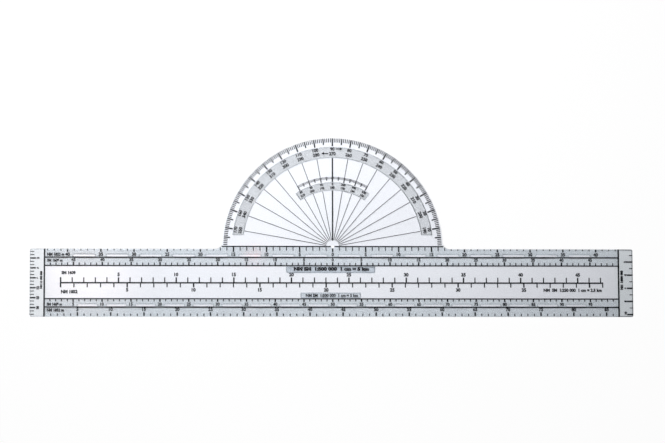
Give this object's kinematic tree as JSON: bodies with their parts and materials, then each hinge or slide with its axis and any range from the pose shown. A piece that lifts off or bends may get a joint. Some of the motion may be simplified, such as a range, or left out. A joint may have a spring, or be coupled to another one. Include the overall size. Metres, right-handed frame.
{
  "type": "navigation plotter",
  "caption": "Clear flat navigation plotter: a ruler with a semicircular protractor on its upper edge, printed with distance and course scales.",
  "frame": {"origin": "centre of the punched hole at the middle of the protractor, on the unprinted face that lies on the chart", "axes": "+X along the ruler towards the printed scales' right end, +Y towards the top of the protractor, +Z out of the printed face"},
  "size_m": [0.338, 0.1008, 0.0008],
  "materials": {
    "clear_polycarbonate": "clear, glossy, die-cut",
    "tint_ink": "screen-printed translucent grey-blue",
    "line_ink": "screen-printed dense navy black"
  },
  "bodies": {
    "root": {"clear_sheet": "clear_polycarbonate", "upper_tint": "tint_ink", "lower_tint": "tint_ink", "title_tint": "tint_ink", "caption_tint": "tint_ink", "course_band_tint": "tint_ink", "polar_band_tint": "tint_ink", "end_bars": "line_ink", "row_rules": "line_ink", "base_line": "line_ink", "upper_nautical_ticks": "line_ink", "upper_statute_ticks": "line_ink", "lower_statute_ticks": "line_ink", "lower_nautical_ticks": "line_ink", "centre_rule": "line_ink", "centre_statute_ticks": "line_ink", "centre_nautical_ticks": "line_ink", "left_end_ticks": "line_ink", "right_end_ticks": "line_ink", "course_degree_ticks": "line_ink", "course_five_degree_ticks": "line_ink", "course_ten_degree_ticks": "line_ink", "course_rays": "line_ink", "north_ray": "line_ink", "course_arrows": "line_ink", "polar_degree_ticks": "line_ink", "polar_five_degree_ticks": "line_ink", "polar_ten_degree_ticks": "line_ink"}
  },
  "joints": []
}
